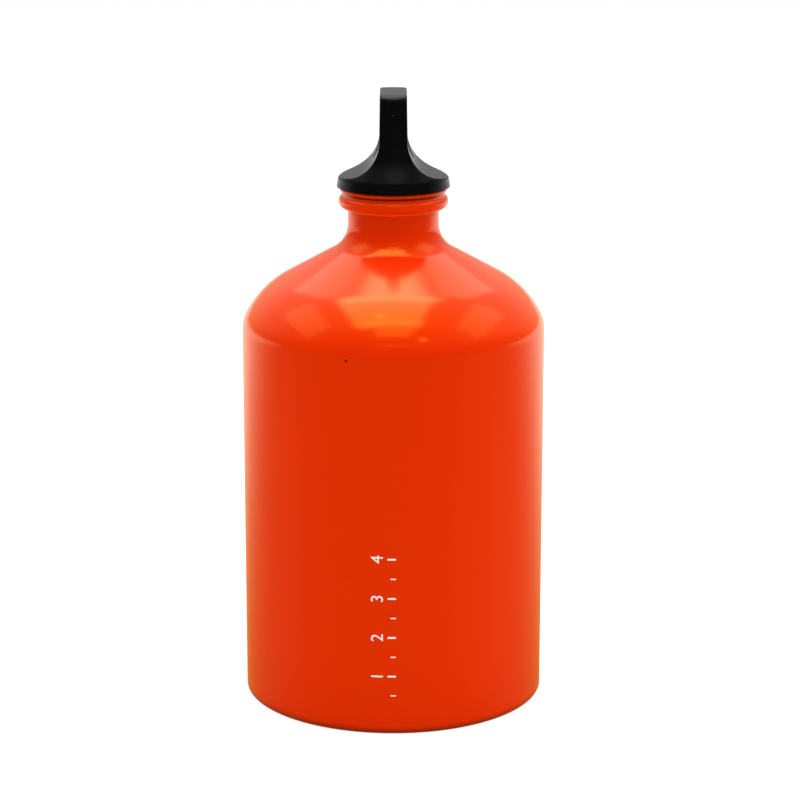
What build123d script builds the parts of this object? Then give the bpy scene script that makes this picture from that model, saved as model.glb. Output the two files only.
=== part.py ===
from build123d import *
from math import cos, radians, sin, tan
import os

# A screw-topped metal fuel bottle: one drawn shell, a moulded stopper with a carrying loop, and a seal.
# Millimetres and degrees, +Z up along the bottle's axis. The origin is the centre of the base, on the
# plane that the bottle stands on. The loop's blade lies in the YZ plane, with its hole along X.

# Shell: side and shoulder
body_diameter = 100.0
mouth_height = 171.6
wall = 1.0
corner_radius = 10.8
corner_turn = 28.5
dome_radius = 31.4
dome_turn = 32.6

# Shell: base, a flat ring to stand on round a stepped and domed middle
base_corner_radius = 1.6
foot_ring_width = 3.8
base_step_width = 2.2
base_step_height = 2.4
base_dome_height = 4.6
base_blend = 1.5
floor_thickness = 2.0

# Shell: neck, as long as from the shoulder's cone to the mouth
neck_bore_diameter = 26.6
neck_wall = 1.65
neck_length = 17.5
neck_blend_radius = 10.0
mouth_chamfer = 0.7

# Shell: rolled bead and lip round the neck, with a waist between them
bead_radius = 2.4
bead_ledge = 0.67
bead_foot_round = 1.2
lip_proud = 2.6
lip_height = 1.0
lip_round = 0.35
waist_depth = 0.6
waist_height = 0.95

# Stopper: flange
flange_gap = 0.35
flange_overhang = 1.1
flange_side_height = 3.5
flange_draft = 9.8
flange_foot_round = 0.25
flange_edge_round = 3.0

# Stopper: bell that rises from the flange to the carrying loop, and the scoops that thin it to a blade
bell_foot_width = 2.97
bell_foot_slope = 64.0
loop_hole_foot = 9.6
loop_top_wall = 5.65
loop_side_wall = 7.075
loop_thickness = 8.8
loop_draft = 0.8
loop_side_draft = 9.3
loop_foot_blend = 15.0
loop_corner_radius = 2.4
loop_edge_round = 0.7
loop_hole_round = 1.2
scoop_radius = 12.5
scoop_slope = 14.0
scoop_rim_drop = 0.2

# Stopper: hollow plug, which keeps this much room round it for the threads
thread_room = 1.4
plug_length = 14.4
plug_wall = 2.0
plug_chamfer = 0.8
core_roof_height = 3.0
core_round = 1.5

# Seal
seal_inset = 0.4
seal_width = 2.6
seal_height = 2.35
seal_round = 0.9
seal_side_clearance = 0.25

# How far a cutting shape runs past what it cuts
overrun = 5.0

# Sizes that follow from the ones above
body_radius = body_diameter / 2
foot_radius = body_radius - base_corner_radius - foot_ring_width
bore_radius = neck_bore_diameter / 2
neck_radius = bore_radius + neck_wall
lip_radius = neck_radius + lip_proud
waist_radius = lip_radius - waist_depth
waist_top = mouth_height - lip_height
bead_height = waist_top - waist_height - bead_radius
bead_centre_radius = neck_radius + bead_ledge
bead_top_rise = (bead_radius**2 - (waist_radius - bead_centre_radius) ** 2) ** 0.5
bead_foot_drop = (bead_radius**2 - bead_ledge**2) ** 0.5

corner_end = radians(corner_turn)
dome_end = radians(corner_turn + dome_turn)
cone_slope = tan(radians(90) - dome_end)
cone_run = body_radius - corner_radius * (1 - cos(corner_end)) - neck_radius
cone_run = cone_run - dome_radius * (cos(corner_end) - cos(dome_end))
arcs_rise = corner_radius * sin(corner_end) + dome_radius * (sin(dome_end) - sin(corner_end))
shoulder_start = mouth_height - neck_length - cone_run * cone_slope - arcs_rise

stopper_seat = mouth_height + flange_gap
flange_radius = lip_radius + flange_overhang
flange_top_radius = flange_radius - flange_side_height * tan(radians(flange_draft))
loop_foot_radius = flange_top_radius - bell_foot_width
loop_hole_radius = loop_foot_radius - loop_side_wall
loop_height = loop_hole_foot + loop_hole_radius * 2 + loop_top_wall
loop_foot_rise = flange_side_height + bell_foot_width * tan(radians(bell_foot_slope))
loop_top_radius = loop_foot_radius - (loop_height - loop_foot_rise) * tan(radians(loop_side_draft))

blade_half = loop_thickness / 2
blade_lean = tan(radians(loop_draft))
scoop_fall = tan(radians(scoop_slope))
scoop_rim_height = flange_side_height - scoop_rim_drop
scoop_run = flange_top_radius - blade_half - loop_height * blade_lean
scoop_top = (scoop_rim_height + scoop_run * scoop_fall) / (1 - blade_lean * scoop_fall)
blade_foot_half = blade_half + (loop_height - scoop_top) * blade_lean
scoop_reach = flange_radius + overrun
scoop_end = scoop_rim_height - (scoop_reach - flange_top_radius) * scoop_fall

plug_radius = bore_radius - thread_room
core_radius = plug_radius - plug_wall
seal_middle_radius = bore_radius + seal_inset + seal_width / 2
seal_seat_depth = seal_height - flange_gap
seal_seat_width = seal_width + 2 * seal_side_clearance

# The stopper is drawn from the underside of its flange, with X across and Z up
stopper_plane = Plane((0, 0, stopper_seat), x_dir=(1, 0, 0), z_dir=(0, -1, 0))

# The loop's hole is drawn round its middle, looking along X
loop_hole_height = stopper_seat + loop_hole_foot + loop_hole_radius
loop_hole_plane = Plane((0, 0, loop_hole_height), x_dir=(0, 0, 1), z_dir=(1, 0, 0))


def base_lines(rise):
    """Domed middle, step and foot ring as far as the side wall, all lifted by the rise."""
    dome = TangentArc(
        (0, base_dome_height + rise),
        (foot_radius - base_step_width, base_step_height + rise),
        tangent=(1, 0),
    )
    step = Line(dome @ 1, (foot_radius, rise))
    return dome, step


def side_lines(inset, bottom, neck_end_radius):
    """Side, corner arc, dome arc and cone up to the neck, inset from the outer skin."""
    side = Line((body_radius - inset, bottom), (body_radius - inset, shoulder_start))
    corner = JernArc(side @ 1, (0, 1), corner_radius - inset, corner_turn)
    dome = JernArc(corner @ 1, corner % 1, dome_radius - inset, dome_turn)
    cone_rise = ((dome @ 1).X - neck_end_radius) * cone_slope
    cone = Line(dome @ 1, (neck_end_radius, (dome @ 1).Y + cone_rise))
    return side, cone


def round_corner(sketch, corner, radius):
    """Round the corner of the sketch that lies nearest to the given point."""
    fillet(sketch.vertices().sort_by_distance(corner)[0], radius)


# Shell: the outer form is turned, and the hollow is turned out of it
with BuildPart() as bottle_shell:
    with BuildSketch(Plane.XZ) as skin:
        with BuildLine():
            base_dome, base_step = base_lines(0)
            Line(base_step @ 1, (body_radius, 0))
            side, cone = side_lines(0, 0, neck_radius)
            neck = Line(cone @ 1, (neck_radius, bead_height - bead_foot_drop))
            bead = ThreePointArc(
                neck @ 1,
                (bead_centre_radius + bead_radius, bead_height),
                (waist_radius, bead_height + bead_top_rise),
            )
            Polyline(
                bead @ 1,
                (waist_radius, waist_top),
                (lip_radius, waist_top),
                (lip_radius, mouth_height),
                (0, mouth_height),
                base_dome @ 0,
            )
        make_face()
        round_corner(skin, base_dome @ 1, base_blend)
        round_corner(skin, base_step @ 1, base_blend)
        round_corner(skin, side @ 0, base_corner_radius)
        round_corner(skin, cone @ 1, neck_blend_radius)
        round_corner(skin, neck @ 1, bead_foot_round)
        round_corner(skin, (lip_radius, waist_top), lip_round)
        round_corner(skin, (lip_radius, mouth_height), lip_round)
    revolve(axis=Axis.Z)

    with BuildSketch(Plane.XZ) as hollow:
        with BuildLine():
            floor_dome, floor_step = base_lines(floor_thickness)
            Line(floor_step @ 1, (body_radius - wall, floor_thickness))
            inner_side, inner_cone = side_lines(wall, floor_thickness, bore_radius)
            Polyline(
                inner_cone @ 1,
                (bore_radius, mouth_height - mouth_chamfer),
                (bore_radius + mouth_chamfer, mouth_height),
                (bore_radius + mouth_chamfer, mouth_height + overrun),
                (0, mouth_height + overrun),
                floor_dome @ 0,
            )
        make_face()
        round_corner(hollow, floor_dome @ 1, base_blend)
        round_corner(hollow, floor_step @ 1, base_blend)
        round_corner(hollow, inner_side @ 0, base_corner_radius)
        round_corner(hollow, inner_cone @ 1, neck_blend_radius + wall)
    revolve(axis=Axis.Z, mode=Mode.SUBTRACT)

bottle_shell.part.label = "bottle_shell"

# Seal: a rubber ring squeezed flat between the mouth and the stopper's flange
with BuildPart() as seal_ring:
    with BuildSketch(Plane.XZ) as seal_section:
        with Locations((seal_middle_radius, mouth_height + seal_height / 2)):
            Rectangle(seal_width, seal_height)
        fillet(seal_section.vertices(), seal_round)
    revolve(axis=Axis.Z)

seal_ring.part.label = "seal_ring"

# Stopper: a bell-shaped turning, scooped from both sides to a blade, holed to a loop, and plugged below
with BuildPart() as cap:
    with BuildSketch(stopper_plane) as bell:
        with BuildLine():
            Polyline(
                (0, 0),
                (flange_radius, 0),
                (flange_top_radius, flange_side_height),
                (loop_foot_radius, loop_foot_rise),
                (loop_top_radius, loop_height),
                (0, loop_height),
                close=True,
            )
        make_face()
        round_corner(bell, (flange_radius, 0), flange_foot_round)
        round_corner(bell, (flange_top_radius, flange_side_height), flange_edge_round)
        round_corner(bell, (loop_foot_radius, loop_foot_rise), loop_foot_blend)
        round_corner(bell, (loop_top_radius, loop_height), loop_corner_radius)
    revolve(axis=Axis.Z)

    with BuildSketch(stopper_plane) as blade:
        with BuildLine():
            Polyline(
                (0, -overrun),
                (scoop_reach, -overrun),
                (scoop_reach, scoop_end),
                (blade_foot_half, scoop_top),
                (blade_half, loop_height),
                (blade_half, loop_height + overrun),
                (0, loop_height + overrun),
                close=True,
            )
        make_face()
        round_corner(blade, (blade_foot_half, scoop_top), scoop_radius)
        mirror(about=Plane.YZ)
    extrude(amount=scoop_reach, both=True, mode=Mode.INTERSECT)

    scooped_faces = cap.faces().filter_by(
        lambda face: face.geom_type in (GeomType.PLANE, GeomType.CYLINDER)
        and abs(face.normal_at().X) > abs(face.normal_at().Y)
        and face.center().Z > stopper_seat
    )
    loop_top = stopper_seat + loop_height
    scoop_edges = scooped_faces.edges().filter_by(
        lambda edge: edge.geom_type != GeomType.LINE or edge.center().Z > loop_top - loop_edge_round
    )
    fillet(scoop_edges, loop_edge_round)

    with BuildSketch(loop_hole_plane):
        Circle(loop_hole_radius)
    extrude(amount=scoop_reach, both=True, mode=Mode.SUBTRACT)
    hole_wall = cap.faces(Select.LAST).filter_by(GeomType.CYLINDER)
    fillet(hole_wall.edges().filter_by(GeomType.LINE, reverse=True), loop_hole_round)

    with BuildSketch(stopper_plane) as plug_section:
        with BuildLine():
            Polyline(
                (0, overrun / 2),
                (plug_radius, overrun / 2),
                (plug_radius, plug_chamfer - plug_length),
                (plug_radius - plug_chamfer, -plug_length),
                (0, -plug_length),
                close=True,
            )
        make_face()
    revolve(axis=Axis.Z)

    with BuildSketch(stopper_plane) as seal_seat:
        with Locations((seal_middle_radius, seal_seat_depth / 2 - overrun / 2)):
            Rectangle(seal_seat_width, seal_seat_depth + overrun)
    revolve(axis=Axis.Z, mode=Mode.SUBTRACT)

    with BuildSketch(stopper_plane) as core:
        with BuildLine():
            Polyline(
                (0, core_roof_height),
                (core_radius, core_roof_height),
                (core_radius, -plug_length - overrun),
                (0, -plug_length - overrun),
                close=True,
            )
        make_face()
        round_corner(core, (core_radius, core_roof_height), core_round)
    revolve(axis=Axis.Z, mode=Mode.SUBTRACT)

cap.part.label = "cap"

os.makedirs("parts", exist_ok=True)
export_step(bottle_shell.part, "parts/bottle_shell.step")
export_step(seal_ring.part, "parts/seal_ring.step")
export_step(cap.part, "parts/cap.step")
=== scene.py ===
import math

import bpy
import numpy as np
from mathutils import Matrix


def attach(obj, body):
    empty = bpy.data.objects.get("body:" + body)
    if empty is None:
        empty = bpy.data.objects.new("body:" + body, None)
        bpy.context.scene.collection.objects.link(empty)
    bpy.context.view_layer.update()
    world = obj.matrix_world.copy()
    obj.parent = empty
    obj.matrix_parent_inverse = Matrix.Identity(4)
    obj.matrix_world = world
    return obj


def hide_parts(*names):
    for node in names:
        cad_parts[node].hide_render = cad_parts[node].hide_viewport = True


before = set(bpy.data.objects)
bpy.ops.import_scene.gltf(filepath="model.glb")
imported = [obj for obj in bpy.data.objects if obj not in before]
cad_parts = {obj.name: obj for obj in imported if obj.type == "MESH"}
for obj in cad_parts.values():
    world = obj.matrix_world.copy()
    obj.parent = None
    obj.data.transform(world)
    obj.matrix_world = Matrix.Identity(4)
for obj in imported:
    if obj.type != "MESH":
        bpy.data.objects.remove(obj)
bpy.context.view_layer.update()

# Sizes in millimetres, the same as the solids have; MM turns them into metres
MM = 0.001

body_radius = 50.0
mouth_height = 171.6
wall = 1.0
# The shoulder's two arcs, each with its radius and its turn in degrees
corner_radius, corner_turn = 10.8, 28.5
dome_radius, dome_turn = 31.4, 32.6
base_corner_radius = 1.6
foot_radius = 44.6
base_step_radius = 42.4
base_step_height = 2.4
base_dome_height = 4.6
base_blend = 1.5
base_dome_margin = 2.5
base_dome_rows = 16
floor_thickness = 2.0
bore_radius = 13.3
neck_radius = 14.95
neck_length = 17.5
neck_blend_radius = 10.0
mouth_chamfer = 0.7
bead_radius = 2.4
bead_ledge = 0.67
bead_foot_round = 1.2
lip_radius = 17.55
lip_height = 1.0
lip_round = 0.35
waist_radius = 16.95
waist_height = 0.95
waist_foot_round = 0.12
bead_foot_rows, bead_rows, rim_rows = 12, 34, 4
stopper_seat = 171.95
seal_middle = 172.775
plug_radius = 11.9
plug_end = 157.55

thread_pitch = 3.0
thread_depth = 1.2
thread_foot_width = 1.3
thread_crest_width = 0.55
thread_bottom = 160.2
thread_top = 170.2
thread_fade = 1.4
thread_rows = 88

# The plug's thread: its ends' distance from the plug's end and the seat, and its section, with
# the shares of the depth that its points stand out and how far across they lie
plug_thread_lead, plug_thread_gap = 1.6, 2.0
plug_thread_out = (-0.3, 0.0, 0.75, 1.0, 1.0, 0.75, 0.0, -0.3)
plug_thread_across = (-0.62, -0.62, -0.36, -0.24, 0.24, 0.36, 0.62, 0.62)
plug_thread_end_width = 0.35

# The printed scale: long and short marks by their left end and half height, and the numbers
scale_step = 13.2
scale_first = 20.0
scale_count = 4
long_mark_left, long_mark_half = -1.9, 0.3
short_mark_left, short_mark_half = -0.9, 0.2
mark_right = 0.8
number_size, number_left = 5.6, -3.4
ink_height = 0.05

# Places in metres, and shares of light that the floor and the world give
fleck_place, fleck_radius = (-0.0149, -0.0477, 0.1244), 0.0004
gate_place, gate_radius = (0.0, -0.01248, 0.1974), 0.00035
floor_half = 30
floor_plain_share, floor_gloss_share = 0.65, 0.93
floor_plain_strength = 1.2
floor_bright_at, floor_far_strength = 0.6, 1.4
world_light = 0.65
world_gloss_side, world_gloss_back = 0.05, 0.75
view_middle = (0, 0, 0.14)
camera_place, camera_down = (0, -0.8648, 0.3177), 14.15
camera_lens, camera_sensor, camera_shift = 120.06, 36.0, 0.00825


# Lines and surfaces

def rounded_line(corners, radii, turn_step=4.0, guard=0.3, run_step=12):
    """A line through the corners, each rounded by its radius: an arc touches both runs at
    radius * tan(turn / 2) from the corner, in steps of turn_step degrees. Long runs get a
    point a guard's length from each end, so that smooth shading stays true on them. Where
    two arcs touch, their shared point is taken once."""
    corners = np.asarray(corners, float)
    pieces = [corners[:1]]
    for before, corner, after, radius in zip(corners[:-2], corners[1:-1], corners[2:], radii):
        into = (corner - before) / np.linalg.norm(corner - before)
        out = (after - corner) / np.linalg.norm(after - corner)
        turn = math.atan2(into[0] * out[1] - into[1] * out[0], into @ out)
        reach = radius * math.tan(abs(turn) / 2)
        start = corner - into * reach
        side = np.array([-into[1], into[0]]) * math.copysign(1, turn)
        count = max(3, math.ceil(math.degrees(abs(turn)) / turn_step)) + 1
        sweep = np.linspace(0, abs(turn), count)[:, None]
        pieces.append(start + radius * (np.sin(sweep) * into + (1 - np.cos(sweep)) * side))
    pieces.append(corners[-1:])
    line = [pieces[0]]
    for piece in pieces[1:]:
        start, end = line[-1][-1], piece[0]
        length = np.linalg.norm(end - start)
        if length > 3 * guard:
            inner = np.linspace(guard, length - guard, max(2, int(length / run_step) + 1))
            line.append(start + (end - start) * (inner / length)[:, None])
        line.append(piece if length > 1e-6 else piece[1:])
    return np.concatenate(line)


def shoulder_corners(inset, end_radius):
    """Corners of the side, the shoulder's two arcs and its cone, inset from the skin. Each
    arc's corner lies radius * tan(turn / 2) before and after it, so the arcs touch."""
    first, both = math.radians(corner_turn), math.radians(corner_turn + dome_turn)
    slope = math.tan(math.pi / 2 - both)
    arcs_rise = (corner_radius * math.sin(first)
                 + dome_radius * (math.sin(both) - math.sin(first)))
    arcs_run = (corner_radius * (1 - math.cos(first))
                + dome_radius * (math.cos(first) - math.cos(both)))
    cone_run = body_radius - arcs_run - neck_radius
    start = mouth_height - neck_length - cone_run * slope - arcs_rise
    r1, r2 = corner_radius - inset, dome_radius - inset
    lower = np.array([body_radius - inset, start + r1 * math.tan(first / 2)])
    along = np.array([-math.sin(first), math.cos(first)])
    upper = lower + along * (r1 * math.tan(first / 2) + r2 * math.tan((both - first) / 2))
    neck_foot = np.array([end_radius, upper[1] + (upper[0] - end_radius) * slope])
    return lower, upper, neck_foot, (r1, r2)


def base_dome(rise):
    """The base's dome: height falls with the square of the radius, from the middle to its step."""
    radius = np.linspace(0, base_step_radius - base_dome_margin, base_dome_rows)
    fall = (base_dome_height - base_step_height) / base_step_radius**2
    return np.stack([radius, base_dome_height + rise - fall * radius**2], axis=1)


def skin_line():
    """Outer line of the shell, from the base's middle out, up and in to the mouth. The round
    under the bead touches the neck, and touches the bead on the line between their middles."""
    lower, upper, neck_foot, arcs = shoulder_corners(0, neck_radius)
    waist_top = mouth_height - lip_height
    bead_height = waist_top - waist_height - bead_radius
    bead_middle = neck_radius + bead_ledge
    foot_side = neck_radius + bead_foot_round - bead_middle
    foot_drop = math.sqrt((bead_radius + bead_foot_round)**2 - foot_side**2)
    under = math.atan2(-foot_drop, foot_side)
    over = math.acos((waist_radius - bead_middle) / bead_radius)
    inward = np.linspace(math.pi, under + math.pi, bead_foot_rows)
    bulge = np.linspace(under, over, bead_rows)
    foot = np.stack([neck_radius + bead_foot_round * (1 + np.cos(inward)),
                     bead_height - foot_drop + bead_foot_round * np.sin(inward)], axis=1)
    bead = np.stack([bead_middle + bead_radius * np.cos(bulge),
                     bead_height + bead_radius * np.sin(bulge)], axis=1)
    dome = base_dome(0)
    low = rounded_line(
        [dome[-1], (base_step_radius, base_step_height), (foot_radius, 0), (body_radius, 0),
         lower, upper, neck_foot, foot[0]],
        [base_blend, base_blend, base_corner_radius, *arcs, neck_blend_radius],
        turn_step=2.0,
    )
    high = rounded_line(
        [bead[-1], (waist_radius, waist_top), (lip_radius, waist_top), (lip_radius, mouth_height),
         (bore_radius + mouth_chamfer, mouth_height)],
        [waist_foot_round, lip_round, lip_round], turn_step=9.0, guard=0.1,
    )
    return np.concatenate([dome[:-1], low[:-1], foot[:-1], bead, high[1:]])


def hollow_line():
    """Inner line of the shell, from the mouth down the threaded neck to the floor's middle."""
    lower, upper, neck_foot, arcs = shoulder_corners(wall, bore_radius)
    down = rounded_line(
        [(bore_radius + mouth_chamfer, mouth_height), (bore_radius, mouth_height - mouth_chamfer),
         (bore_radius, thread_top + 0.2)], [0.1], turn_step=12.0, guard=0.1)
    thread = np.linspace(thread_top, thread_bottom, thread_rows)
    thread = np.stack([np.full_like(thread, bore_radius), thread], axis=1)
    dome = base_dome(floor_thickness)[::-1]
    floor_step = base_step_height + floor_thickness
    rest = rounded_line(
        [thread[-1], neck_foot, upper, lower, (body_radius - wall, floor_thickness),
         (foot_radius, floor_thickness), (base_step_radius, floor_step), dome[0]],
        [neck_blend_radius + wall, arcs[1], arcs[0], base_corner_radius, base_blend, base_blend],
        turn_step=5.0,
    )
    return np.concatenate([down[1:], thread, rest[1:-1], dome])


def thread_rise(turn, height):
    """How far the neck's right-hand thread stands out, from 0 to 1. Its middle climbs one pitch
    a turn, and each flank is a smooth step from the foot's width to the crest's. It fades in
    over its lowest and out over its highest part."""
    lap = (height / thread_pitch - turn / (2 * np.pi) + 0.5) % 1 - 0.5
    off = np.abs(lap) * thread_pitch
    flank = (thread_foot_width - thread_crest_width) / 2
    rise = np.clip((thread_foot_width / 2 - off) / flank, 0, 1)
    low_end = np.clip((height - thread_bottom) / thread_fade, 0, 1)
    high_end = np.clip((thread_top - height) / thread_fade, 0, 1)
    return rise * rise * (3 - 2 * rise) * low_end * high_end


def mesh_piece(name, points, faces, materials, face_material=None):
    """A smooth mesh from an array of points in millimetres and an array or list of faces."""
    mesh = bpy.data.meshes.new(name)
    mesh.from_pydata((np.asarray(points) * MM).tolist(), [], [list(map(int, f)) for f in faces])
    for material in materials:
        mesh.materials.append(material)
    if face_material is not None:
        mesh.polygons.foreach_set("material_index", np.asarray(face_material, np.int32))
    mesh.shade_smooth()
    mesh.update()
    piece = bpy.data.objects.new(name, mesh)
    bpy.context.scene.collection.objects.link(piece)
    return piece


def grid_faces(rows, columns):
    """Quads between closed rings, with the points numbered ring by ring."""
    row = np.arange(rows - 1)[:, None] * columns
    column = np.arange(columns)[None, :]
    after = (column + 1) % columns
    return np.stack([row + column, row + after, row + columns + after, row + columns + column],
                    axis=-1).reshape(-1, 4)


def turned_shell(columns=150):
    """The shell, turned: point(turn, row) = (r cos turn, r sin turn, z) along the skin line and
    back along the hollow line. In the neck r is less by the thread's rise times its depth. Both
    ends close in one point on the axis. The metal is bare from the mouth's rim inwards."""
    skin, hollow = skin_line(), hollow_line()
    line = np.concatenate([skin, hollow])
    turn = np.arange(columns) * 2 * np.pi / columns
    radius = np.repeat(line[1:-1, :1], columns, axis=1)
    height = np.repeat(line[1:-1, 1:], columns, axis=1)
    rise = thread_rise(turn[None, :], height)
    inside = np.arange(1, len(line) - 1)[:, None] >= len(skin)
    radius = radius - np.where(inside, rise * thread_depth, 0)
    ring = np.stack([radius * np.cos(turn), radius * np.sin(turn), height], axis=-1)
    points = np.concatenate([ring.reshape(-1, 3), [[0, 0, line[0, 1]], [0, 0, line[-1, 1]]]])
    rows = len(line) - 2
    quads = grid_faces(rows, columns)
    column = np.arange(columns)
    after = (column + 1) % columns
    first, last = rows * columns, rows * columns + 1
    low = np.stack([np.full(columns, first), after, column], axis=1)
    high = (rows - 1) * columns
    top = np.stack([np.full(columns, last), high + column, high + after], axis=1)
    faces = [*quads.tolist(), *low.tolist(), *top.tolist()]
    bare_from = len(skin) - rim_rows
    bare = np.repeat(np.arange(rows - 1) >= bare_from, columns)
    return points, faces, [*bare.astype(int), *([0] * columns), *([1] * columns)]


def plug_thread(steps_per_turn=72):
    """The plug's thread: a flat-topped section carried up a right-hand helix, half a pitch off
    the neck's. Its foot is sunk in the plug, and its height grows from nothing over a third of
    a turn at each end."""
    bottom, top = plug_end + plug_thread_lead, stopper_seat - plug_thread_gap
    turns = (top - bottom) / thread_pitch
    lap = np.linspace(0, turns, int(turns * steps_per_turn))
    grow = np.clip(np.minimum(lap, turns - lap) * 3, 0, 1)
    grow = grow * grow * (3 - 2 * grow)
    out, across = np.array(plug_thread_out), np.array(plug_thread_across)
    width = plug_thread_end_width + (1 - plug_thread_end_width) * grow[:, None]
    radius = plug_radius + thread_depth * np.where(out > 0, out[None, :] * grow[:, None], out)
    start = ((bottom / thread_pitch - 0.5) % 1) * 2 * np.pi
    turn = (start + lap * 2 * np.pi)[:, None]
    height = bottom + (lap * thread_pitch)[:, None] + across * width
    points = np.stack([radius * np.cos(turn), radius * np.sin(turn), height], axis=-1)
    sides = len(out)
    faces = grid_faces(len(lap), sides).tolist()
    end = (len(lap) - 1) * sides
    ends = [list(range(sides - 1, -1, -1)), list(range(end, end + sides))]
    return points.reshape(-1, 3), faces + ends


def on_side(across, height, proud):
    """A flat drawing wrapped on the front: the distance across becomes an angle on the side."""
    radius = body_radius + proud
    angle = across / body_radius
    return np.stack([radius * np.sin(angle), -radius * np.cos(angle), height], axis=-1)


def scale_line(left, right, low, high, columns=9):
    """One printed line: a thin closed plate on the side, from left to right and low to high,
    its section a rectangle carried across."""
    across = np.repeat(np.linspace(left, right, columns), 4)
    height = np.tile([low, low, high, high], columns)
    proud = np.tile([-ink_height, ink_height, ink_height, -ink_height], columns)
    faces = grid_faces(columns, 4).tolist()
    end = (columns - 1) * 4
    return on_side(across, height, proud), [*faces, [3, 2, 1, 0], list(range(end, end + 4))]


def scale_number(text, middle, size, left):
    """A printed number that reads upwards: flat text, turned a quarter, wrapped on the side."""
    curve = bpy.data.curves.new("number", "FONT")
    curve.body, curve.size, curve.extrude = text, size, ink_height
    curve.align_x, curve.align_y = "CENTER", "BOTTOM_BASELINE"
    carrier = bpy.data.objects.new("number", curve)
    bpy.context.scene.collection.objects.link(carrier)
    mesh = bpy.data.meshes.new_from_object(carrier)
    flat = np.empty(len(mesh.vertices) * 3)
    mesh.vertices.foreach_get("co", flat)
    flat = flat.reshape(-1, 3)
    faces = [list(polygon.vertices) for polygon in mesh.polygons]
    bpy.data.objects.remove(carrier)
    bpy.data.meshes.remove(mesh)
    bpy.data.curves.remove(curve)
    return on_side(left - flat[:, 1], middle + flat[:, 0], flat[:, 2]), faces


def joined(parts):
    """Several arrays of points with their faces, as one."""
    points, faces, count = [], [], 0
    for part_points, part_faces in parts:
        points.append(part_points)
        faces += [[int(i) + count for i in face] for face in part_faces]
        count += len(part_points)
    return np.concatenate(points), faces


# Node helpers

def group(name, inputs, outputs):
    """An empty node group with its named inputs, each a name, a socket type and a value."""
    tree = bpy.data.node_groups.new(name, "ShaderNodeTree")
    for label, kind, value in inputs:
        socket = tree.interface.new_socket(label, in_out="INPUT", socket_type=kind)
        if value is not None:
            socket.default_value = value
    for label, kind in outputs:
        tree.interface.new_socket(label, in_out="OUTPUT", socket_type=kind)
    return tree, tree.nodes.new("NodeGroupInput").outputs, tree.nodes.new("NodeGroupOutput").inputs


def put(tree, socket, value):
    """A socket's link from another socket, or its own value."""
    if isinstance(value, bpy.types.NodeSocket):
        tree.links.new(value, socket)
    elif value is not None:
        socket.default_value = value


def math_node(tree, operation, *values):
    node = tree.nodes.new("ShaderNodeMath")
    node.operation = operation
    for socket, value in zip(node.inputs, values):
        put(tree, socket, value)
    return node.outputs[0]


def vector_value(tree, operation, *values):
    node = tree.nodes.new("ShaderNodeVectorMath")
    node.operation = operation
    for socket, value in zip(node.inputs, values):
        put(tree, socket, value)
    return node.outputs["Value"]


def ramp(tree, value, low, high, to_low=0.0, to_high=1.0):
    """Smooth step of the value, from to_low at low to to_high at high."""
    node = tree.nodes.new("ShaderNodeMapRange")
    node.interpolation_type = "SMOOTHSTEP"
    for socket, given in zip(node.inputs, (value, low, high, to_low, to_high)):
        put(tree, socket, given)
    return node.outputs[0]


def noise(tree, place, scale, detail=3.0, roughness=0.5):
    """Noise from 0 to 1 with the given scale per metre."""
    node = tree.nodes.new("ShaderNodeTexNoise")
    for label, value in (("Vector", place), ("Scale", scale), ("Detail", detail),
                         ("Roughness", roughness)):
        put(tree, node.inputs[label], value)
    return node.outputs["Fac"]


def mix_colour(tree, share, first, second):
    """The first colour where the share is 0 and the second where it is 1."""
    node = tree.nodes.new("ShaderNodeMix")
    node.data_type = "RGBA"
    put(tree, node.inputs[0], share)
    put(tree, node.inputs[6], first)
    put(tree, node.inputs[7], second)
    return node.outputs[2]


def part_along(tree, place, axis):
    """A place's distance along X, Y or Z."""
    node = tree.nodes.new("ShaderNodeSeparateXYZ")
    tree.links.new(place, node.inputs[0])
    return node.outputs[axis]


def band(tree, value, middle, inner, outer):
    """1 where the value is within inner of the middle, falling to 0 at outer."""
    off = math_node(tree, "ABSOLUTE", math_node(tree, "SUBTRACT", value, middle))
    return ramp(tree, off, inner, outer, 1.0, 0.0)


def light_paths(tree):
    """1 for the camera's own rays, and 1 for rays that gloss or glass has sent on."""
    path = tree.nodes.new("ShaderNodeLightPath").outputs
    sent_on = math_node(tree, "MAXIMUM", path["Is Glossy Ray"], path["Is Transmission Ray"])
    return path["Is Camera Ray"], sent_on


def finish(name):
    """A new material with its Principled shader and the object's own coordinates."""
    material = bpy.data.materials.new(name)
    material.use_nodes = True
    tree = material.node_tree
    shader = tree.nodes["Principled BSDF"]
    place = tree.nodes.new("ShaderNodeTexCoord").outputs["Object"]
    return material, tree, shader, place


def use(tree, shared, **values):
    """A shared group placed in a material with its own values."""
    node = tree.nodes.new("ShaderNodeGroup")
    node.node_tree = shared
    for label, value in values.items():
        put(tree, node.inputs[label], value)
    return node.outputs


def relief(tree, shader, height, distance, strength=1.0):
    """Bump of the given height in metres on a shader."""
    node = tree.nodes.new("ShaderNodeBump")
    node.inputs["Strength"].default_value = strength
    node.inputs["Distance"].default_value = distance
    put(tree, node.inputs["Height"], height)
    tree.links.new(node.outputs[0], shader.inputs["Normal"])


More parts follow.
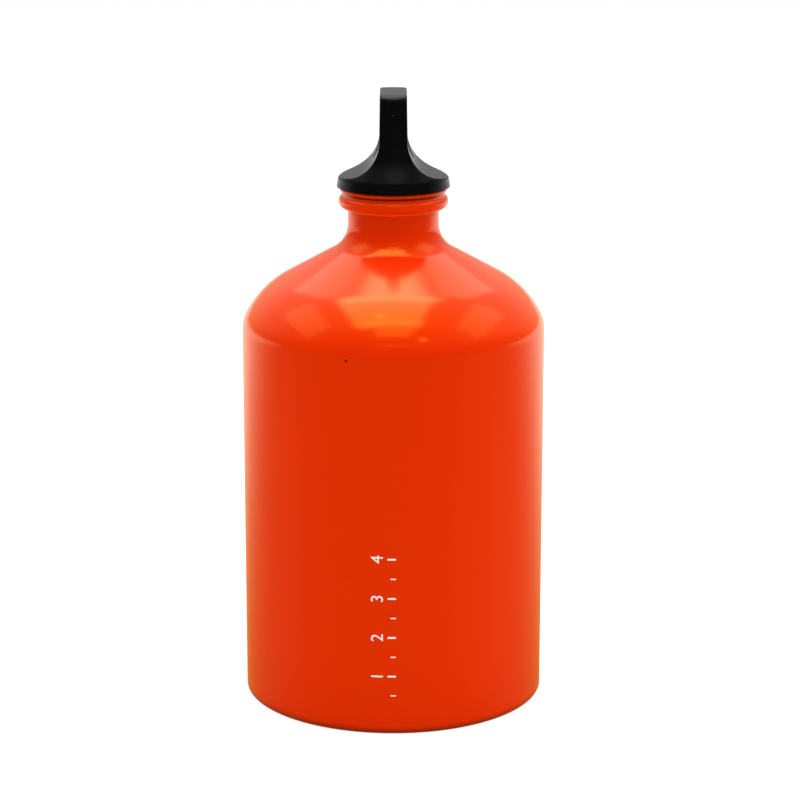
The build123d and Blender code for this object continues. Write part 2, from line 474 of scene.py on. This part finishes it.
def surface_grain():
    """Fine unevenness: a noise of the given grain size with a coarser one under it."""
    tree, given, out = group(
        "surface grain",
        [("Place", "NodeSocketVector", None), ("Grain size", "NodeSocketFloat", 0.001),
         ("Coarse share", "NodeSocketFloat", 0.3)],
        [("Height", "NodeSocketFloat")],
    )
    scale = math_node(tree, "DIVIDE", 1.0, given["Grain size"])
    fine = noise(tree, given["Place"], scale, 2.0)
    coarse = noise(tree, given["Place"], math_node(tree, "MULTIPLY", scale, 0.22), 1.0)
    node = tree.nodes.new("ShaderNodeMix")
    put(tree, node.inputs[0], given["Coarse share"])
    put(tree, node.inputs[2], fine)
    put(tree, node.inputs[3], coarse)
    tree.links.new(node.outputs[0], out["Height"])
    return tree


def handling_marks():
    """Faint smudges and dust: broad patches broken up by a finer noise."""
    tree, given, out = group(
        "handling marks",
        [("Place", "NodeSocketVector", None), ("Patch size", "NodeSocketFloat", 0.03),
         ("Cover", "NodeSocketFloat", 0.4)],
        [("Mask", "NodeSocketFloat")],
    )
    scale = math_node(tree, "DIVIDE", 1.0, given["Patch size"])
    broad = noise(tree, given["Place"], scale, 2.0, 0.6)
    fine = noise(tree, given["Place"], math_node(tree, "MULTIPLY", scale, 9.0), 4.0, 0.7)
    edge = math_node(tree, "SUBTRACT", 0.78, math_node(tree, "MULTIPLY", given["Cover"], 0.5))
    patches = ramp(tree, broad, edge, math_node(tree, "ADD", edge, 0.18))
    tree.links.new(math_node(tree, "MULTIPLY", patches, ramp(tree, fine, 0.3, 0.7)), out["Mask"])
    return tree


def round_spot():
    """A spot round a point: 1 within its radius, 0 from one and a half radii on."""
    tree, given, out = group(
        "round spot",
        [("Place", "NodeSocketVector", None), ("Middle", "NodeSocketVector", None),
         ("Radius", "NodeSocketFloat", 0.0005)],
        [("Mask", "NodeSocketFloat")],
    )
    away = vector_value(tree, "DISTANCE", given["Place"], given["Middle"])
    far = math_node(tree, "MULTIPLY", given["Radius"], 1.5)
    tree.links.new(ramp(tree, away, given["Radius"], far, 1.0, 0.0), out["Mask"])
    return tree


grain, marks, spot = surface_grain(), handling_marks(), round_spot()


# Finishes

def enamel_finish():
    """Gloss orange enamel: a faint orange peel, slight smudges, one dark fleck, a painted shade
    line in the groove under the lip, painted shade darkening the foot, and a warm veil that
    shows at a slant."""
    material, tree, shader, place = finish("orange_enamel")
    peel = use(tree, grain, Place=place, **{"Grain size": 0.0022, "Coarse share": 0.45})["Height"]
    smudge = use(tree, marks, Place=place, **{"Patch size": 0.035, "Cover": 0.35})["Mask"]
    fleck = use(tree, spot, Place=place, Middle=fleck_place, Radius=fleck_radius)["Mask"]
    height = part_along(tree, place, "Z")
    waist_middle = (mouth_height - lip_height - waist_height / 2) * MM
    # Painted shade: a band round the groove under the lip is darkened in the colour, standing in
    # for the shade that falls in it
    groove = band(tree, height, waist_middle, 0.0002, 0.0006)
    # Painted shade: the colour darkens over the lowest few millimetres, standing in for the shadow
    # under the bottle's lower edge
    foot_shade_mask = ramp(tree, height, 0.0004, 0.0032, 0.7, 0.0)
    tone = noise(tree, place, 9.0, 2.0)
    deep_orange, light_orange = (0.66, 0.0175, 0.0003, 1), (0.70, 0.0195, 0.0004, 1)
    # Dark colours of painted shade: one for the groove under the lip, one for the foot
    painted_groove_shade, painted_foot_shade = (0.13, 0.002, 0.0002, 1), (0.11, 0.006, 0.003, 1)
    speck = (0.06, 0.006, 0.002, 1)
    colour = mix_colour(tree, tone, deep_orange, light_orange)
    colour = mix_colour(tree, groove, colour, painted_groove_shade)
    colour = mix_colour(tree, foot_shade_mask, colour, painted_foot_shade)
    colour = mix_colour(tree, fleck, colour, speck)
    shader.inputs["Base Color"].default_value = (0.68, 0.0185, 0.0004, 1)
    tree.links.new(colour, shader.inputs["Base Color"])
    tree.links.new(ramp(tree, smudge, 0.0, 1.0, 0.155, 0.215), shader.inputs["Roughness"])
    shader.inputs["IOR"].default_value = 1.4
    shader.inputs["Specular IOR Level"].default_value = 1.0
    shader.inputs["Specular Tint"].default_value = (1.0, 0.55, 0.03, 1)
    shader.inputs["Sheen Weight"].default_value = 0.8
    shader.inputs["Sheen Roughness"].default_value = 0.4
    shader.inputs["Sheen Tint"].default_value = (1.0, 0.28, 0.015, 1)
    relief(tree, shader, peel, 0.00001, 0.7)
    return material


def bare_finish():
    """Bare drawn aluminium: fine rings left by the drawing, and a light haze."""
    material, tree, shader, place = finish("bare_aluminium")
    stretch = tree.nodes.new("ShaderNodeMapping")
    stretch.inputs["Scale"].default_value = (0.05, 0.05, 1.0)
    tree.links.new(place, stretch.inputs["Vector"])
    rings = noise(tree, stretch.outputs[0], 1800.0, 3.0, 0.6)
    haze = use(tree, marks, Place=place, **{"Patch size": 0.02, "Cover": 0.5})["Mask"]
    tree.links.new(mix_colour(tree, haze, (0.78, 0.78, 0.77, 1), (0.66, 0.66, 0.65, 1)),
                   shader.inputs["Base Color"])
    shader.inputs["Metallic"].default_value = 1.0
    tree.links.new(ramp(tree, rings, 0.3, 0.7, 0.26, 0.4), shader.inputs["Roughness"])
    relief(tree, shader, rings, 0.00002, 0.5)
    return material


def nylon_finish():
    """Satin black nylon: a fine moulded grain, slight scuffs, and the mark of the mould's gate."""
    material, tree, shader, place = finish("black_nylon")
    fine = use(tree, grain, Place=place, **{"Grain size": 0.0005, "Coarse share": 0.3})["Height"]
    scuff = use(tree, marks, Place=place, **{"Patch size": 0.012, "Cover": 0.45})["Mask"]
    gate = use(tree, spot, Place=place, Middle=gate_place, Radius=gate_radius)["Mask"]
    colour = mix_colour(tree, scuff, (0.0010, 0.0010, 0.0011, 1), (0.0020, 0.0020, 0.0021, 1))
    colour = mix_colour(tree, gate, colour, (0.001, 0.001, 0.001, 1))
    tree.links.new(colour, shader.inputs["Base Color"])
    tree.links.new(ramp(tree, scuff, 0.0, 1.0, 0.33, 0.40), shader.inputs["Roughness"])
    shader.inputs["IOR"].default_value = 1.5
    shader.inputs["Specular IOR Level"].default_value = 0.25
    height = math_node(tree, "SUBTRACT", fine, math_node(tree, "MULTIPLY", gate, 8.0))
    relief(tree, shader, height, 0.00003, 0.8)
    return material


def rubber_finish():
    """Matt black rubber with a fine bloom and the thin line where its mould parts."""
    material, tree, shader, place = finish("black_rubber")
    fine = use(tree, grain, Place=place, **{"Grain size": 0.0003, "Coarse share": 0.4})["Height"]
    bloom = use(tree, marks, Place=place, **{"Patch size": 0.006, "Cover": 0.5})["Mask"]
    parting = band(tree, part_along(tree, place, "Z"), seal_middle * MM, 0.00004, 0.00012)
    tree.links.new(mix_colour(tree, bloom, (0.010, 0.010, 0.010, 1), (0.022, 0.022, 0.021, 1)),
                   shader.inputs["Base Color"])
    tree.links.new(ramp(tree, bloom, 0.0, 1.0, 0.6, 0.75), shader.inputs["Roughness"])
    shader.inputs["Specular IOR Level"].default_value = 0.4
    relief(tree, shader, math_node(tree, "ADD", fine, parting), 0.00005, 0.7)
    return material


def ink_finish():
    """Warm white printing ink, slightly uneven and a little worn."""
    material, tree, shader, place = finish("white_ink")
    worn = use(tree, marks, Place=place, **{"Patch size": 0.004, "Cover": 0.45})["Mask"]
    fine = use(tree, grain, Place=place, **{"Grain size": 0.0003, "Coarse share": 0.3})["Height"]
    tree.links.new(mix_colour(tree, worn, (0.80, 0.77, 0.70, 1), (0.74, 0.66, 0.56, 1)),
                   shader.inputs["Base Color"])
    tree.links.new(ramp(tree, worn, 0.0, 1.0, 0.42, 0.55), shader.inputs["Roughness"])
    relief(tree, shader, fine, 0.00001, 0.5)
    return material


def floor_finish():
    """White floor: a third its own shaded white and the rest plain white to the camera. To gloss
    and glass it is dark in front of the bottle and grows bright behind it."""
    material, tree, shader, place = finish("studio_floor")
    shader.inputs["Base Color"].default_value = (0.86, 0.86, 0.86, 1)
    shader.inputs["Roughness"].default_value = 0.8
    glow = tree.nodes.new("ShaderNodeEmission")
    blend = tree.nodes.new("ShaderNodeMixShader")
    camera_ray, mirrored = light_paths(tree)
    back = part_along(tree, place, "Y")
    behind = ramp(tree, back, 0.0, floor_bright_at, 0.0, floor_far_strength)
    strength = ramp(tree, mirrored, 0.0, 1.0, floor_plain_strength, behind)
    tree.links.new(strength, glow.inputs["Strength"])
    seen = math_node(tree, "MULTIPLY", camera_ray, floor_plain_share)
    gloss = math_node(tree, "MULTIPLY", mirrored, floor_gloss_share)
    tree.links.new(math_node(tree, "MAXIMUM", seen, gloss), blend.inputs[0])
    tree.links.new(shader.outputs[0], blend.inputs[1])
    tree.links.new(glow.outputs[0], blend.inputs[2])
    tree.links.new(blend.outputs[0], tree.nodes["Material Output"].inputs["Surface"])
    return material


enamel, bare, nylon, rubber = enamel_finish(), bare_finish(), nylon_finish(), rubber_finish()
ink, floor_white = ink_finish(), floor_finish()


# Bottle

shell_points, shell_faces, shell_bare = turned_shell()
shell = mesh_piece("bottle_shell_finished", shell_points, shell_faces, [enamel, bare], shell_bare)
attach(shell, "bottle")
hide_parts("bottle_shell")

long_marks = scale_first + scale_step * np.arange(scale_count)
short_marks = long_marks - scale_step / 2
print_parts = [scale_line(long_mark_left, mark_right, z - long_mark_half, z + long_mark_half)
               for z in long_marks]
print_parts += [scale_line(short_mark_left, mark_right, z - short_mark_half, z + short_mark_half)
                for z in short_marks]
print_parts += [scale_number(str(number + 1), z, number_size, number_left)
                for number, z in enumerate(long_marks)]
printed = mesh_piece("printed_scale", *joined(print_parts), [ink])
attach(printed, "bottle")


# Stopper and seal

threaded = mesh_piece("plug_thread", *plug_thread(), [nylon])
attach(threaded, "stopper")

for node, material in (("cap", nylon), ("seal_ring", rubber)):
    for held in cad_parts[node].material_slots:
        held.material = material


# Studio

def area_lamp(name, place, aim, size, radiance, in_gloss=True):
    """A rectangular soft lamp; its power is radiance * pi * area. Gloss may leave it out."""
    lamp = bpy.data.lights.new(name, "AREA")
    lamp.shape, lamp.size, lamp.size_y = "RECTANGLE", size[0], size[1]
    lamp.energy = radiance * math.pi * size[0] * size[1]
    carrier = bpy.data.objects.new(name, lamp)
    bpy.context.scene.collection.objects.link(carrier)
    place, aim = np.array(place, float), np.array(aim, float)
    back = (place - aim) / np.linalg.norm(place - aim)
    across = np.cross((0, 1, 0) if abs(back[2]) > 0.9 else (0, 0, 1), back)
    across /= np.linalg.norm(across)
    turned = np.eye(4)
    turned[:3] = np.stack([across, np.cross(back, across), back, place], axis=1)
    carrier.matrix_world = Matrix(turned.tolist())
    carrier.visible_glossy = in_gloss


floor_mesh = bpy.data.meshes.new("floor")
floor_corners = [(x * floor_half, y * floor_half, 0)
                 for x, y in ((-1, -1), (1, -1), (1, 1), (-1, 1))]
floor_mesh.from_pydata(floor_corners, [], [(0, 1, 2, 3)])
floor_mesh.materials.append(floor_white)
floor = bpy.data.objects.new("floor", floor_mesh)
bpy.context.scene.collection.objects.link(floor)

for lamp in (
    ("overhead_box", (-0.09, -0.05, 1.35), (-0.09, -0.05, 0), (0.88, 1.08), 3.7),
    ("overhead_back_strip", (0, 0.38, 1.34), view_middle, (0.9, 0.2), 2.0),
    ("back_box", (0, 0.78, 1.05), view_middle, (1.3, 0.6), 1.2),
    ("front_apron", (0, -0.65, 1.15), view_middle, (0.45, 0.22), 2.2),
    ("low_front_strip", (0.03, -0.92, 0.84), view_middle, (0.4, 0.06), 1.6),
    ("overhead_front_strip", (0, -0.44, 1.34), view_middle, (0.8, 0.10), 2.2),
    ("left_box", (-1.0, 0.1, 1.1), view_middle, (0.9, 0.5), 1.0),
    ("right_box", (1.0, 0.1, 1.1), view_middle, (0.9, 0.5), 1.0),
    ("left_fill", (-1.0, 0.0, 0.95), view_middle, (1.1, 0.8), 0.7, False),
    ("right_fill", (1.0, -0.1, 0.95), view_middle, (1.1, 0.8), 2.2, False),
    ("hot_lamp", (-0.146, -0.22, 1.33), view_middle, (0.06, 0.06), 12.0),
    ("small_lamp", (0.40, -0.77, 1.03), view_middle, (0.05, 0.05), 16.0),
):
    area_lamp(*lamp)

world = bpy.data.worlds.new("studio")
world.use_nodes = True
tree = world.node_tree
backdrop = tree.nodes["Background"]
camera_ray, mirrored = light_paths(tree)
look = tree.nodes.new("ShaderNodeTexCoord").outputs["Generated"]
upper_back = vector_value(tree, "DOT_PRODUCT", look, (0.0, 0.55, 0.83))
in_gloss = ramp(tree, upper_back, 0.15, 0.9, world_gloss_side, world_gloss_back)
rest_to_white = math_node(tree, "MULTIPLY", camera_ray, 1 - world_light)
plain = math_node(tree, "ADD", world_light, rest_to_white)
change = math_node(tree, "MULTIPLY", mirrored, math_node(tree, "SUBTRACT", in_gloss, plain))
tree.links.new(math_node(tree, "ADD", plain, change), backdrop.inputs["Strength"])
backdrop.inputs["Color"].default_value = (1, 1, 1, 1)
bpy.context.scene.world = world
bpy.context.scene.view_settings.view_transform = "Standard"

camera_data = bpy.data.cameras.new("camera")
camera_data.lens, camera_data.sensor_width = camera_lens, camera_sensor
camera_data.shift_x = camera_shift
camera = bpy.data.objects.new("camera", camera_data)
bpy.context.scene.collection.objects.link(camera)
camera.location = camera_place
camera.rotation_euler = (math.radians(90 - camera_down), 0, 0)
bpy.context.scene.camera = camera
